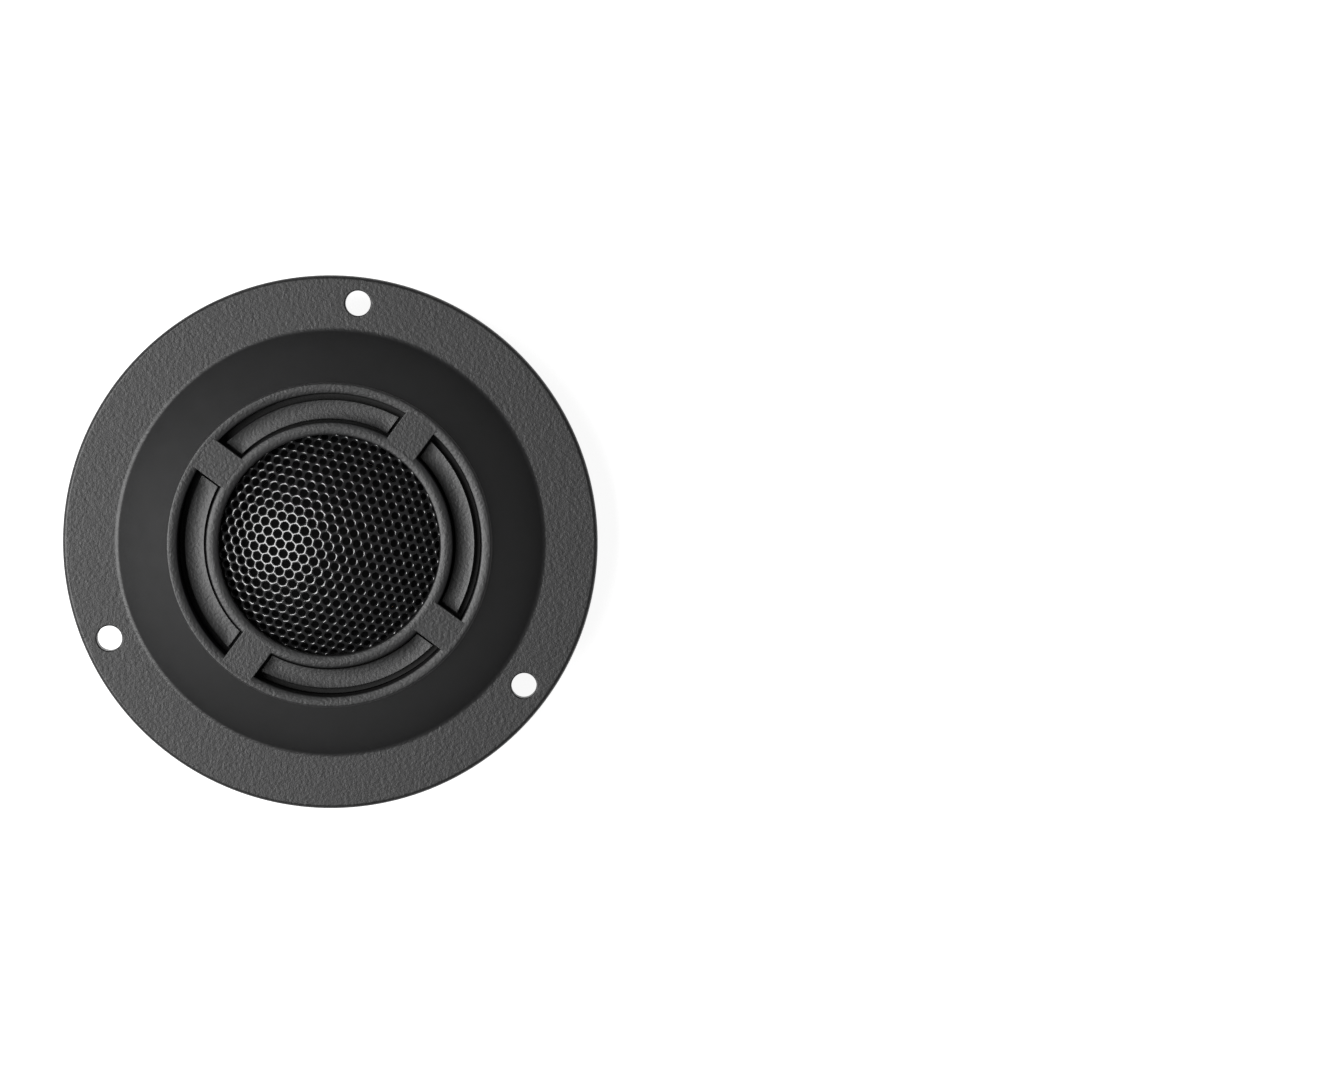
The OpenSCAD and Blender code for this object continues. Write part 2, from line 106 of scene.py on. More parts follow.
def arc(r, z, radius, start, end, steps=6):
    """Points of a section along an arc, with its angles in degrees."""
    angles = [math.radians(start + (end - start) * i / steps) for i in range(steps + 1)]
    return [(r + radius * math.cos(a), z + radius * math.sin(a)) for a in angles]


def turned(section, steps=STEPS, angle=TURN):
    """A closed solid from a section. One that starts and ends on the axis isn't looped."""
    bm = bmesh.new()
    row = [bm.verts.new((r, 0, z)) for r, z in section]
    on_axis = section[0][0] < 1e-6 and section[-1][0] < 1e-6
    follow = row[1:] if on_axis else row[1:] + row[:1]
    edges = [bm.edges.new(pair) for pair in zip(row, follow)]
    whole = abs(angle - TURN) < 1e-6
    bmesh.ops.spin(bm, geom=row + edges, cent=(0, 0, 0), axis=(0, 0, 1), angle=angle,
                   steps=steps, use_merge=whole)
    bmesh.ops.remove_doubles(bm, verts=bm.verts, dist=1e-4)
    bmesh.ops.dissolve_degenerate(bm, edges=bm.edges, dist=1e-5)
    if not whole:
        bmesh.ops.holes_fill(bm, edges=[e for e in bm.edges if e.is_boundary])
    bmesh.ops.recalc_face_normals(bm, faces=bm.faces)
    return bm


def block(low, high, round_by=0.0, segments=2):
    """A box between two corners, with its edges rounded."""
    low, high = Vector(low), Vector(high)
    bm = bmesh.new()
    bmesh.ops.create_cube(bm, size=1)
    bmesh.ops.scale(bm, vec=high - low, verts=bm.verts)
    bmesh.ops.translate(bm, vec=(low + high) / 2, verts=bm.verts)
    if round_by:
        bmesh.ops.bevel(bm, geom=bm.edges, offset=round_by, affect="EDGES",
                        segments=segments, profile=0.5, material=-1)
    return bm


def moved(bm, matrix):
    bmesh.ops.transform(bm, matrix=matrix, verts=bm.verts)
    return bm


def merged(shapes):
    """Several closed shapes in one bmesh, left as separate shells."""
    bm = bmesh.new()
    for shape in shapes:
        mesh = bpy.data.meshes.new("shell")
        shape.to_mesh(mesh)
        shape.free()
        bm.from_mesh(mesh)
        bpy.data.meshes.remove(mesh)
    return bm


def around(make_shape, count, first):
    """Copies of a shape, evenly spaced about the axis, starting at an angle in degrees."""
    turns = [math.radians(first + 360 * i / count) for i in range(count)]
    return merged([moved(make_shape(), Matrix.Rotation(a, 4, "Z")) for a in turns])


# %% [markdown]
# ## Joining and cutting
#
# A moulding is one solid with bosses added and holes taken away. The Boolean modifier with
# its exact solver keeps the result closed, so each helper shape is drawn first, with its
# own rounded edges, and then fused or cut.

# %% Fuse and cut
def as_object(bm, name="helper"):
    mesh = bpy.data.meshes.new(name)
    bm.to_mesh(mesh)
    bm.free()
    made = bpy.data.objects.new(name, mesh)
    bpy.context.scene.collection.objects.link(made)
    return made


def carved(base, add=(), cut=()):
    """The base with some shapes fused on and others cut away, as one bmesh."""
    body = as_object(base)
    helpers = []
    for shapes, operation in ((add, "UNION"), (cut, "DIFFERENCE")):
        for shape in shapes:
            helper = as_object(shape)
            step = body.modifiers.new(operation, "BOOLEAN")
            step.operation, step.solver, step.object = operation, "EXACT", helper
            helpers.append(helper)
    bpy.context.view_layer.update()
    result = body.evaluated_get(bpy.context.evaluated_depsgraph_get()).to_mesh()
    bm = bmesh.new()
    bm.from_mesh(result)
    for used in [body, *helpers]:
        mesh = used.data
        bpy.data.objects.remove(used)
        bpy.data.meshes.remove(mesh)
    return bm


# %% [markdown]
# ## From a bmesh to a finished piece
#
# Smooth shading with creases marked by angle shows round faces as round and edges as edges,
# and weighted normals keep a broad flat face flat next to a small fillet. Each piece then
# rides on its body, replaces its plain node, and takes its material.

# %% Finish a piece
def piece(name, bm, material, body="housing", nodes=None, crease=32):
    bmesh.ops.scale(bm, vec=(MM, MM, MM), verts=bm.verts)
    made = as_object(bm, f"{name}_detail")
    made.data.materials.append(material)
    made.data.shade_smooth()
    made.data.set_sharp_from_angle(angle=math.radians(crease))
    flat = made.modifiers.new("flat faces stay flat", "WEIGHTED_NORMAL")
    flat.keep_sharp = True
    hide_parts(*(nodes or [name]))
    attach(made, body)
    print(name, len(made.data.polygons), "faces")
    return made


# %% [markdown]
# ## Writing shader maths as Python
#
# A procedural finish is mostly arithmetic on a few noise textures. This class wraps a
# socket, so that an expression such as `1 - mask * 0.3` adds the Math nodes that it needs.
# Colours go through Mix nodes instead, because a Math node would turn them grey.

# %% A socket that does arithmetic, and a finish that holds its nodes
class Signal:
    def __init__(self, finish, socket):
        self.finish, self.socket = finish, socket

    def math(self, operation, *others):
        made = self.finish.add("ShaderNodeMath", {"operation": operation},
                               {i: v for i, v in enumerate((self, *others))})
        return made["Value"]

    def __add__(self, other):
        return self.math("ADD", other)

    def __mul__(self, other):
        return self.math("MULTIPLY", other)

    def __rsub__(self, other):
        return (self * -1.0) + other

    def __pow__(self, other):
        return self.math("POWER", other)

    __radd__ = __add__
    __rmul__ = __mul__

    def between(self, low, high, to_low=0.0, to_high=1.0):
        """Maps low..high smoothly to to_low..to_high, and holds the ends."""
        made = self.finish.add("ShaderNodeMapRange", {"interpolation_type": "SMOOTHSTEP"},
                               {0: self, 1: low, 2: high, 3: to_low, 4: to_high})
        return made["Result"]


class Finish:
    """A material whose nodes are added by one method."""

    def __init__(self, name, roughness, metallic=0.0, **constants):
        self.material = bpy.data.materials.new(name)
        self.material.use_nodes = True
        self.tree = self.material.node_tree
        self.shader = self.tree.nodes["Principled BSDF"]
        self.shader.inputs["Roughness"].default_value = roughness
        self.shader.inputs["Metallic"].default_value = metallic
        for socket, value in constants.items():
            self.shader.inputs[socket.replace("_", " ")].default_value = value

    def plug(self, socket, value):
        if isinstance(value, Signal):
            self.tree.links.new(value.socket, socket)
        elif socket.type == "RGBA" and len(value) == 3:
            socket.default_value = (*value, 1.0)
        else:
            socket.default_value = value

    def add(self, kind, settings=None, sockets=None):
        """Adds a node: its settings first, then the values or links of its sockets."""
        node = self.tree.nodes.new(kind)
        for key, value in (settings or {}).items():
            setattr(node, key, value)
        for key, value in (sockets or {}).items():
            self.plug(node.inputs[key], value)
        return {out.name: Signal(self, out) for out in node.outputs if out.enabled}

    def place(self, scale=1.0, centre=(0, 0, 0), turn=(0, 0, 0)):
        """Object coordinates in millimetres times scale, about a centre in millimetres."""
        where = self.add("ShaderNodeTexCoord")["Object"]
        size = scale / MM
        offset = tuple(-c * scale for c in centre)
        return self.add("ShaderNodeMapping", {"vector_type": "POINT"},
                        {"Vector": where, "Location": offset, "Rotation": turn,
                         "Scale": (size, size, size)})["Vector"]

    def noise(self, vector, scale, detail=2.0, roughness=0.5, distortion=0.0):
        return self.add("ShaderNodeTexNoise", {"noise_dimensions": "3D"},
                        {"Vector": vector, "Scale": scale, "Detail": detail,
                         "Roughness": roughness, "Distortion": distortion})["Fac"]

    def split(self, vector):
        made = self.add("ShaderNodeSeparateXYZ", None, {"Vector": vector})
        return made["X"], made["Y"], made["Z"]

    def radius(self, vector):
        x, y, _ = self.split(vector)
        return (x * x + y * y) ** 0.5

    def mix(self, factor, first, second):
        made = self.tree.nodes.new("ShaderNodeMix")
        made.data_type = "RGBA"
        colour_sockets = [s for s in made.inputs if s.type == "RGBA"]
        self.plug(made.inputs[0], factor)
        self.plug(colour_sockets[0], first)
        self.plug(colour_sockets[1], second)
        result = next(s for s in made.outputs if s.type == "RGBA")
        return Signal(self, result)

    def set(self, socket, value):
        self.plug(self.shader.inputs[socket], value)
        return self

    def bump(self, height, depth_mm, strength=1.0):
        """Raises the surface by height, whose 0 to 1 stands for depth_mm."""
        normal = self.add("ShaderNodeBump", None,
                          {"Strength": strength, "Distance": depth_mm * MM,
                           "Height": height})["Normal"]
        return self.set("Normal", normal)


# %% [markdown]
# ## Black ABS with a spark-eroded grain
#
# The flange's mould is spark-eroded, which leaves a fine pebbled grain that breaks up its
# sheen, while the cone is drawn from a smoother face of the mould. Two scales of noise make
# the pebbles, and their depth fades with the radius where the cone begins.

# %% Moulded plastic finishes
CONE_FOOT_R = 30.3
RING_R = 22.95
# Painted shade: the near-black colour below is put on the clamp ring's low faces, where the
# gaps round the pads fall in shade. The rough value goes with it.
PAINTED_RECESS_SHADE, RECESS_ROUGHNESS = (0.006, 0.006, 0.006), 0.8


def moulded_black(name, colour, roughness, grain_depth, cone_depth=None, pitch=2.2,
                  shade_below_z=None):
    """Black ABS. Where cone_depth is given, the grain fades from the flange to the cone."""
    f = Finish(name, roughness)
    where = f.place()
    pebbles = f.noise(where, pitch, 1.5, 0.5)
    fine = f.noise(where, pitch * 3.1, 1.0, 0.5)
    height = pebbles * 0.75 + fine * 0.25
    if cone_depth is not None:
        out = f.radius(where)
        on_flange = out.between(CONE_FOOT_R - 0.6, CONE_FOOT_R + 0.3)
        on_ring = out.between(RING_R + 0.2, RING_R - 0.4)
        share = (on_flange + on_ring).between(0.0, 1.0, cone_depth / grain_depth, 1.0)
        height = height * share
    cloud = f.noise(where, 0.09, 3.0, 0.6)
    scuff = f.noise(where, 0.5, 4.0, 0.65)
    tone = f.mix(cloud.between(0.3, 0.7), colour, tuple(c * 1.2 for c in colour))
    gloss = scuff.between(0.25, 0.75, roughness - 0.02, roughness + 0.03)
    if cone_depth is not None:
        gloss = gloss + (1 - share) * 0.03
    # Painted shade: below this height the colour fades to near black and the roughness rises,
    # so the gaps round the pads read dark.
    if shade_below_z is not None:
        _, _, z = f.split(where)
        painted_shade_mask = z.between(shade_below_z, shade_below_z - 0.15)
        tone = f.mix(painted_shade_mask, tone, PAINTED_RECESS_SHADE)
        gloss = gloss + painted_shade_mask * (RECESS_ROUGHNESS - gloss)
    f.set("Base Color", tone)
    f.set("Roughness", gloss)
    f.bump(height, grain_depth)
    return f.material


PLATE_BLACK = (0.0072, 0.0072, 0.0075)
plate_abs = moulded_black("grained_black_abs", PLATE_BLACK, 0.42, 0.070, cone_depth=0.010,
                         pitch=2.2)
smooth_abs = moulded_black("smooth_black_abs", (0.014, 0.014, 0.0145), 0.46, 0.02, pitch=1.6)
# The clamp ring's faces below 4.75 mm get painted shade.
clamp_abs = moulded_black("clamp_ring_black", PLATE_BLACK, 0.43, 0.06, pitch=2.2,
                         shade_below_z=4.75)

# %% [markdown]
# ## The faceplate
#
# The real faceplate is one moulding: a flange with three screw holes, a low cone, and a
# raised ring with four windows. Its walls are turned from two sections, the outer body and
# the rim round the opening, and four bridges join them.

# %% Faceplate section
FLANGE_T = 2.5
EDGE_ROUND = 0.6
BACK_ROUND = 0.3
FOOT_FILLET = 1.2
OUTER_BEAD_W = 1.55
INNER_RIM_W = 1.8
OPENING_R = 15.6
SKIRT_BOTTOM = 2.0
CONE_WALL = 2.0
BRIDGE_W = 5.0
BRIDGE_DROP = 0.02
BRIDGE_T = 1.45
BRIDGES, FIRST_BRIDGE = 4, 60
SCREWS, FIRST_SCREW = 3, 90
SCREW_CIRCLE_R = 34.25
SCREW_HOLE_R = 1.8
BOSS_CIRCLE_R, BOSS_R, FIRST_BOSS = 24.6, 2.2, 30

WINDOW_OUT_R = RING_R - OUTER_BEAD_W
WINDOW_IN_R = OPENING_R + INNER_RIM_W
bead_r = OUTER_BEAD_W / 2
rim_r = INNER_RIM_W / 2
cone_top = RING_TOP - bead_r - 0.02


def crown(outer, inner, top, corner, lean_out, lean_in, steps=8):
    """A crowned top between two walls, which leans out and in by two angles at its ends."""
    out_tilt, in_tilt = math.radians(lean_out), math.radians(lean_in)
    reach = (outer - inner - 2 * corner) / (math.sin(out_tilt) + math.sin(in_tilt))
    middle = inner + corner + reach * math.sin(in_tilt)
    centre = top - corner - reach
    return [*arc(outer - corner, centre + reach * math.cos(out_tilt), corner,
                 0, 90 - lean_out, 5),
            *arc(middle, centre, reach + corner, 90 - lean_out, 90 + lean_in, steps)[1:-1],
            *arc(inner + corner, centre + reach * math.cos(in_tilt), corner,
                 90 + lean_in, 180, 5)]


cone_angle = math.atan2(cone_top - FLANGE_T, CONE_FOOT_R - RING_R)
wall_dz = CONE_WALL / math.cos(cone_angle)
fillet_reach = FOOT_FILLET * math.tan(cone_angle / 2)
inside_at_ring = cone_top - wall_dz
inside_foot_r = RING_R + inside_at_ring / math.tan(cone_angle)
rim_under = grille_low.z + 0.5

body_section = [
    *arc(FLANGE_R - BACK_ROUND, BACK_ROUND, BACK_ROUND, -90, 0, 4),
    *arc(FLANGE_R - EDGE_ROUND, FLANGE_T - EDGE_ROUND, EDGE_ROUND, 0, 90, 8),
    *arc(CONE_FOOT_R + fillet_reach, FLANGE_T + FOOT_FILLET, FOOT_FILLET,
         -90, -90 - math.degrees(cone_angle), 6),
    (RING_R, cone_top),
    *crown(RING_R, WINDOW_OUT_R, RING_TOP, 0.24, 5, 15),
    (WINDOW_OUT_R, SKIRT_BOTTOM + 0.3),
    (WINDOW_OUT_R + 0.3, SKIRT_BOTTOM),
    (RING_R, SKIRT_BOTTOM),
    (RING_R, inside_at_ring),
    (inside_foot_r, 0.0),
]
rim_section = [
    (WINDOW_IN_R, rim_under),
    *crown(WINDOW_IN_R, OPENING_R, RING_TOP, 0.24, 15, 16),
    (OPENING_R, rim_under + 0.32),
    (OPENING_R + 0.32, rim_under),
]


# %% Bridges, bosses and holes
def bridge():
    top = RING_TOP - BRIDGE_DROP
    return block((OPENING_R + rim_r, -BRIDGE_W / 2, top - BRIDGE_T),
                 (RING_R - bead_r, BRIDGE_W / 2, top), round_by=0.14, segments=3)


def peg(out, radius, bottom, top, flare=0.0, flare_z=0.0):
    """A round peg at a distance out along X. With a flare it cuts a hole with a soft edge."""
    section = [(0, bottom), (radius, bottom)]
    if flare:
        section += arc(radius + flare, flare_z - flare, flare, 180, 90, 4)
        section += [(radius + flare, top)]
    section += [(section[-1][0], top), (0, top)] if not flare else [(0, top)]
    return moved(turned(section, 40), Matrix.Translation((out, 0, 0)))


faceplate_bm = carved(
    turned(body_section),
    add=[turned(rim_section), around(bridge, BRIDGES, FIRST_BRIDGE),
         around(lambda: peg(BOSS_CIRCLE_R, BOSS_R, 1.8, 4.6), SCREWS, FIRST_BOSS)],
    cut=[around(lambda: peg(SCREW_CIRCLE_R, SCREW_HOLE_R, -1.0, 4.0, 0.2, FLANGE_T),
                SCREWS, FIRST_SCREW),
         around(lambda: peg(BOSS_CIRCLE_R, 0.9, 1.0, 5.0), SCREWS, FIRST_BOSS)])
piece("faceplate", faceplate_bm, plate_abs)

# %% [markdown]
# ## The perforated dome
#
# The guard is punched flat, on a close hexagonal lattice, and then pressed to a dome, so
# the holes keep their pitch along the curve. One hexagonal cell is drawn with its hole,
# whose upper edge is rolled over as a punch leaves it. The cell is repeated, its borders
# are merged, and the flat sheet is wrapped on the dome.

# %% One cell of the sheet
PITCH = 1.5
HOLE_R = 0.545
SHEET_T = 0.5
ROLL = 0.12
HOLE_SIDES = 12
APART = 0.2  # loops in one plane bridge across their middle, so they start apart
ROW_TURN = math.radians(-7.2)


def ring_of_points(bm, radius, z, hexagon=False):
    """A ring of twelve edges. For a hexagon, every other point is drawn in to a side."""
    made = bmesh.ops.create_circle(bm, segments=HOLE_SIDES, radius=radius, cap_ends=False)
    ring = made["verts"]
    if hexagon:
        inward = math.cos(math.pi / 6)
        bmesh.ops.scale(bm, vec=(inward, inward, 1), verts=ring[1::2])
    bmesh.ops.translate(bm, vec=(0, 0, z), verts=ring)
    return list({e for v in ring for e in v.link_edges})


def sheet_cell():
    bm = bmesh.new()
    corner_r = PITCH / math.sqrt(3)
    rings = [ring_of_points(bm, corner_r, 0, hexagon=True),
             ring_of_points(bm, HOLE_R + ROLL, -0.01),
             ring_of_points(bm, HOLE_R, -ROLL),
             ring_of_points(bm, HOLE_R, -SHEET_T),
             ring_of_points(bm, corner_r, -SHEET_T - APART, hexagon=True)]
    for upper, lower in zip(rings, rings[1:]):
        bmesh.ops.bridge_loops(bm, edges=upper + lower)
    lowest = list({v for e in rings[-1] for v in e.verts})
    bmesh.ops.translate(bm, vec=(0, 0, APART), verts=lowest)
    bmesh.ops.recalc_face_normals(bm, faces=bm.faces)
    return bm


# %% Repeat the cell and press the sheet
DOME_R = 28.6
dome_centre_z = grille_high.z - DOME_R
bend_angle = math.acos((rim_under - dome_centre_z) / DOME_R)
bend_arc = DOME_R * bend_angle
rim_out_r = grille_high.x


def pressed(point):
    """Wraps a point of the flat sheet on the dome, and lays it flat again on the rim."""
    out = math.hypot(point.x, point.y)
    heading = Vector((point.x, point.y, 0)).normalized() if out else Vector((1, 0, 0))
    angle = min(out / DOME_R, bend_angle)
    beyond = max(0.0, out - bend_arc)
    level = 0.0 if beyond else 1.0
    r = (DOME_R + point.z * level) * math.sin(angle) + beyond
    z = dome_centre_z + (DOME_R + point.z) * math.cos(angle)
    if beyond:
        z = rim_under + point.z
    return heading * r + Vector((0, 0, z))


def lattice(reach):
    """Centres of a hexagonal lattice within a radius, with a cell at the centre."""
    rows = range(-20, 21)
    for row in rows:
        for column in rows:
            x = (column + row / 2) * PITCH
            y = row * PITCH * math.sqrt(3) / 2
            if math.hypot(x, y) < reach:
                yield x, y


cell_mesh = bpy.data.meshes.new("cell")
cell = sheet_cell()
cell.to_mesh(cell_mesh)
cell.free()
sheet = bmesh.new()
holes = 0
for x, y in lattice(rim_out_r):
    before = len(sheet.verts)
    sheet.from_mesh(cell_mesh)
    sheet.verts.ensure_lookup_table()
    bmesh.ops.translate(sheet, vec=(x, y, 0), verts=sheet.verts[before:])
    holes += 1
bmesh.ops.remove_doubles(sheet, verts=sheet.verts, dist=0.01)
bmesh.ops.rotate(sheet, verts=sheet.verts, matrix=Matrix.Rotation(ROW_TURN, 3, "Z"))
for vert in sheet.verts:
    vert.co = pressed(vert.co)
edge_loops = [e for e in sheet.edges if e.is_boundary]
bmesh.ops.bridge_loops(sheet, edges=edge_loops)
bmesh.ops.recalc_face_normals(sheet, faces=sheet.faces)
print("holes in the guard", holes)
RIM_W = 1.3
HOLE_CREASE = 75  # degrees, so that only the rims of the holes stay sharp
rim_low, rim_high = rim_under - SHEET_T, rim_under - 0.01
trimmed_rim = turned([(rim_out_r - RIM_W, rim_low), (rim_out_r, rim_low),
                      (rim_out_r, rim_high), (rim_out_r - RIM_W, rim_high)])


# %% Enamel on the guard
def grille_enamel():
    """Semi-gloss black enamel, thinner and shinier on the webs, with a little orange peel."""
    f = Finish("grille_enamel", 0.2, Specular_IOR_Level=0.9)
    where = f.place()
    peel = f.noise(where, 2.6, 2.0, 0.5)
    cloud = f.noise(where, 0.35, 2.0, 0.5)
    f.set("Base Color", f.mix(cloud, (0.007, 0.007, 0.0074), (0.012, 0.012, 0.0127)))
    f.set("Roughness", cloud.between(0.3, 0.7, 0.16, 0.22))
    f.bump(peel, 0.015)
    return f.material


piece("grille_dome", merged([sheet, trimmed_rim]), grille_enamel(),
      crease=HOLE_CREASE)

# %% [markdown]
# ## The clamp ring and its four pads
#
# Behind the windows stands a second moulding. Each window shows one of its pads: a short
# curved trough whose edges and ends turn up, with a gap all round it. The ring's faces below
# the pads are painted near black as painted shade, so the gap reads dark.

# %% Clamp ring
PAD_IN_R, PAD_OUT_R = WINDOW_IN_R + 0.3, WINDOW_OUT_R - 0.9
PAD_HOLLOW_R = 6.5
PAD_END_CUT = BRIDGE_W / 2 + 0.4
PAD_EDGE = 0.14
PAD_END_RISE = 1.5
BASE_TOP = clamp_low.z + 0.7
PAD_CREST = 5.95
PAD_EDGE_DROP = 0.02
END_DROP, END_SHARE = 0.03, 0.9
pad_mid = (PAD_IN_R + PAD_OUT_R) / 2
pad_half = (PAD_OUT_R - PAD_IN_R) / 2
hollow_z = PAD_CREST + math.sqrt(PAD_HOLLOW_R ** 2 - pad_half ** 2)
hollow_reach = math.degrees(math.asin((pad_half - PAD_EDGE) / PAD_HOLLOW_R))


def pad():
    """One trough between two bridges, with its floor rising to meet its ends."""
    edge_z = PAD_CREST - PAD_EDGE - PAD_EDGE_DROP
    section = [(PAD_IN_R, BASE_TOP - 0.3), (PAD_OUT_R, BASE_TOP - 0.3),
               *arc(PAD_OUT_R - PAD_EDGE, edge_z, PAD_EDGE, 0, 80, 3),
               *arc(pad_mid, hollow_z, PAD_HOLLOW_R, -90 + hollow_reach,
                    -90 - hollow_reach, 12),
               *arc(PAD_IN_R + PAD_EDGE, edge_z, PAD_EDGE, 100, 180, 3)]
    bm = turned(section, 64, math.radians(90))
    quarter = Matrix.Rotation(math.radians(90), 4, "Z")
    sides = ((Vector((0, PAD_END_CUT, 0)), Vector((0, -1, 0))),
             (quarter @ Vector((0, -PAD_END_CUT, 0)), quarter @ Vector((0, 1, 0))))
    for point, outward in sides:
        bmesh.ops.bisect_plane(bm, geom=[*bm.verts, *bm.edges, *bm.faces], dist=1e-5,
                               plane_co=point, plane_no=outward, clear_outer=True)
        bmesh.ops.holes_fill(bm, edges=[e for e in bm.edges if e.is_boundary])
    for vert in bm.verts:
        near = min((point - vert.co).dot(outward) for point, outward in sides)
        if vert.co.z > BASE_TOP and near < PAD_END_RISE:
            lift = (1 - near / PAD_END_RISE) ** 2
            vert.co.z += (PAD_CREST - END_DROP - vert.co.z) * END_SHARE * lift
    bmesh.ops.recalc_face_normals(bm, faces=bm.faces)
    return bm


COLLAR_IN_R, CLAMP_IN_R = 15.95, 15.55
clamp_section = [
    (clamp_high.x, clamp_low.z), (clamp_high.x, BASE_TOP), (rim_out_r, BASE_TOP),
    (rim_out_r, clamp_high.z), (COLLAR_IN_R, clamp_high.z), (COLLAR_IN_R, BASE_TOP),
    (CLAMP_IN_R, BASE_TOP), (CLAMP_IN_R, clamp_low.z)]
clamp_bm = carved(turned(clamp_section), add=[around(pad, BRIDGES, FIRST_BRIDGE)])
piece("clamp_ring", clamp_bm, clamp_abs)

# %% [markdown]
# ## Finishes of the parts behind the grille
#
# Metals, cloth and felt are told apart by how their gloss varies more than by their
# colour. One helper makes every plated or drawn metal, with a cloudy tone and fine
# scratches, and turned parts add the rings that a lathe tool leaves.

# %% Metals
def metal(name, colour, roughness, tool_marks=False, grain=3.0):
    f = Finish(name, roughness, metallic=1.0)
    where = f.place()
    cloud = f.noise(where, 0.22, 3.0, 0.6)
    fine = f.noise(where, grain, 3.0, 0.6)
    f.set("Base Color", f.mix(cloud.between(0.3, 0.7), tuple(c * 0.9 for c in colour), colour))
    f.set("Roughness", (cloud * 0.6 + fine * 0.4).between(0.3, 0.7, roughness - 0.07,
                                                          roughness + 0.12))
    height = fine
    if tool_marks:
        rings = (f.radius(where) * (TURN / 0.35)).math("SINE")
        height = fine * 0.4 + rings * 0.3
    return f.bump(height, 0.012).material


zinc = metal("zinc_plate", (0.66, 0.68, 0.70), 0.30, tool_marks=True)
nickel = metal("nickel_plate", (0.62, 0.60, 0.56), 0.22)
tinned = metal("tinned_brass", (0.74, 0.74, 0.72), 0.28)
brass = metal("rivet_brass", (0.70, 0.55, 0.27), 0.30)
screw_steel = metal("screw_steel", (0.16, 0.16, 0.17), 0.36)
copper = metal("copper_wire", (0.74, 0.33, 0.15), 0.27)
solder = metal("solder", (0.72, 0.73, 0.75), 0.20, grain=1.4)
foil = metal("former_foil", (0.80, 0.62, 0.28), 0.30)


# %% Cloth, felt, foam and other soft finishes
def mottled(name, dark, light, roughness, pitch, depth, detail=3.0, **constants):
    """A finish with one cloudy colour and one grain: felt, foam, rubber or sleeve."""
    f = Finish(name, roughness, **constants)
    where = f.place()
    grain = f.noise(where, pitch, detail, 0.6)
    cloud = f.noise(where, pitch * 0.15, 2.0, 0.5)
    f.set("Base Color", f.mix((grain * 0.6 + cloud * 0.4).between(0.35, 0.65), dark, light))
    f.set("Roughness", grain.between(0.3, 0.7, roughness - 0.05, min(1.0, roughness + 0.06)))
    return f.bump(grain, depth).material


def coated_silk():
    """Fine silk, its weave softened by a coat of damping varnish."""
    f = Finish("coated_silk", 0.85, Specular_IOR_Level=0.12)
    where = f.place()
    x, y, _ = f.split(where)
    thread = TURN / 0.32
    weave = (x * thread).math("SINE") * (y * thread).math("SINE")
    coat = f.noise(where, 0.5, 3.0, 0.6)
    f.set("Base Color", f.mix(coat.between(0.3, 0.7), (0.002, 0.002, 0.0021),
                              (0.005, 0.005, 0.0053)))
    f.set("Roughness", coat.between(0.3, 0.7, 0.78, 0.9))
    return f.bump(weave * 0.3 + coat * 0.7, 0.03).material


silk = coated_silk()
felt = mottled("black_felt", (0.010, 0.010, 0.011), (0.030, 0.030, 0.032), 0.92, 3.5, 0.12,
               Specular_IOR_Level=0.2)
foam = mottled("gasket_foam", (0.008, 0.008, 0.008), (0.022, 0.022, 0.022), 0.9, 4.0, 0.1,
               Specular_IOR_Level=0.2)
rubber = mottled("bung_rubber", (0.012, 0.012, 0.012), (0.022, 0.022, 0.022), 0.7, 2.0, 0.03)
sleeve = mottled("capacitor_sleeve", (0.012, 0.05, 0.19), (0.013, 0.055, 0.21), 0.27, 0.5,
                 0.006)
paper_board = mottled("phenolic", (0.17, 0.075, 0.025), (0.27, 0.13, 0.05), 0.5, 1.2, 0.02,
                      detail=6.0)

# %% [markdown]
# ## Parts whose engineering shape is already right
#
# Flat rings, discs and leads can't be improved by remodelling, and their exact shape is in
# the frame.

# %% Refinish the plain parts
def refinish(material, *nodes):
    for node in nodes:
        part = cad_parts[node]
        for slot in part.material_slots:
            slot.material = material
        print(node, "keeps its engineering shape")


refinish(silk, "surround")
refinish(smooth_abs, "diaphragm_frame")
refinish(foil, "coil_former")
refinish(nickel, "magnet")
refinish(zinc, "pole_plate")
refinish(copper, "coil_lead_positive", "coil_lead_negative")
refinish(tinned, "capacitor_leads")
refinish(rubber, "capacitor_bungs")

# %% [markdown]
# ## The moving parts
#
# A silk dome is pressed as a shallow cap with a short foot that is glued to the coil
# former. It is turned from an arc and its inner arc, so it has a true thickness. The coil
# is one layer of round wire, so its section is a row of half circles.

# %% Silk dome and voice coil
silk_low, silk_high = span("silk_dome")
SILK_R, SILK_T, SILK_FOOT_W = 23.5, 0.2, 0.5
silk_foot_r = silk_high.x
silk_centre_z = silk_high.z - SILK_R
silk_lean = math.degrees(math.asin((silk_foot_r - 0.1) / SILK_R))
silk_in_lean = math.degrees(math.asin((silk_foot_r - SILK_FOOT_W) / (SILK_R - SILK_T)))
silk_section = [*arc(0, silk_centre_z, SILK_R, 90, 90 - silk_lean, 20),
                (silk_foot_r, silk_low.z + 0.05), (silk_foot_r, silk_low.z),
                (silk_foot_r - SILK_FOOT_W, silk_low.z),
                *arc(0, silk_centre_z, SILK_R - SILK_T, 90 - silk_in_lean, 90, 20)]
piece("silk_dome", turned(silk_section, 128), silk, body="diaphragm")

